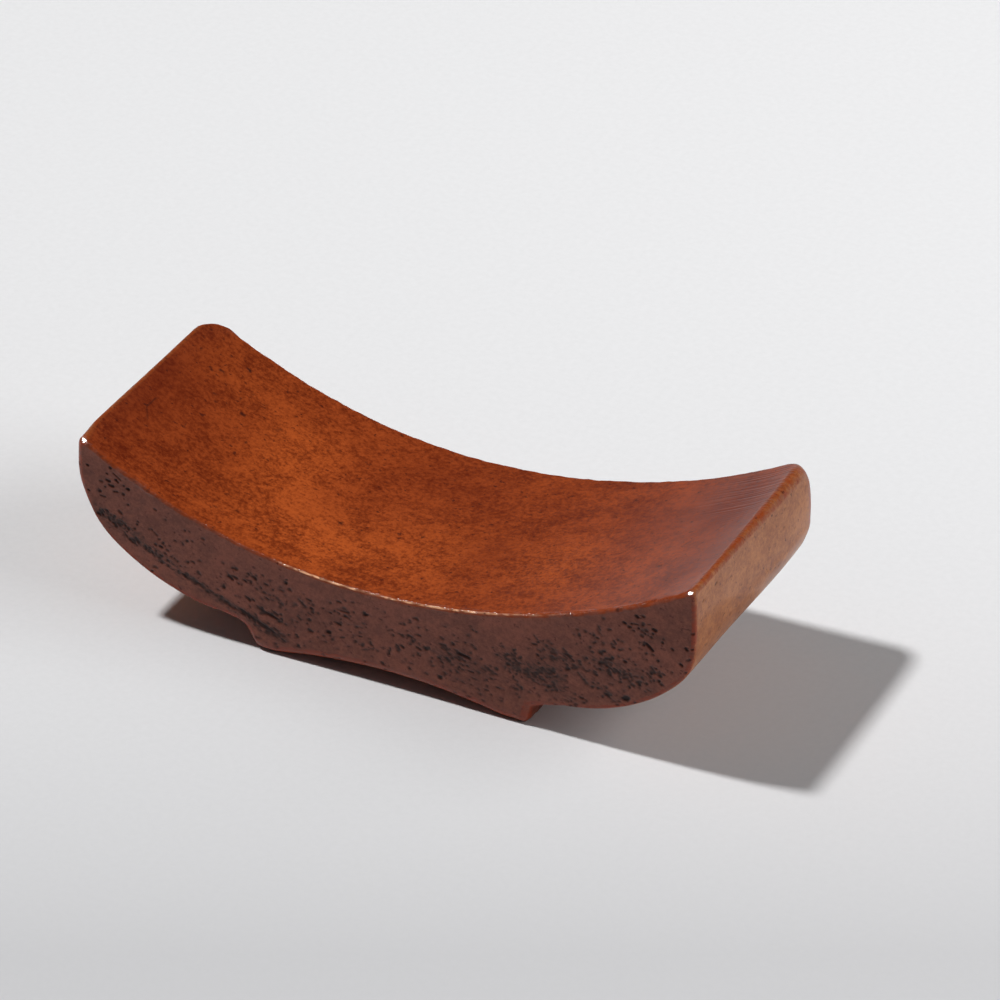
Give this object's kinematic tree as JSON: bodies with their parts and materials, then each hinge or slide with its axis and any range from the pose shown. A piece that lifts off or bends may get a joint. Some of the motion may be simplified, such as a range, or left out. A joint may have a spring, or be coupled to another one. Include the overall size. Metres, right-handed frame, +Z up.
{
  "type": "pen rest",
  "caption": "Carved hardwood pen rest: a hollow saddle with upturned ends on a low, arched, two-footed base; a dip pen or brush lies across it.",
  "frame": {"origin": "centre of the bounding box on the plane that both feet stand on", "axes": "+X along the rest towards its higher end, +Y across it in the direction that the pen lies, +Z up"},
  "size_m": [0.07, 0.0282, 0.0214],
  "materials": {
    "lacquered_wood": "red-brown stained open-pored hardwood under a clear gloss varnish, with dark pores along the grain and lighter, worn edges"
  },
  "bodies": {
    "root": {"rest_block": "lacquered_wood"}
  },
  "joints": []
}
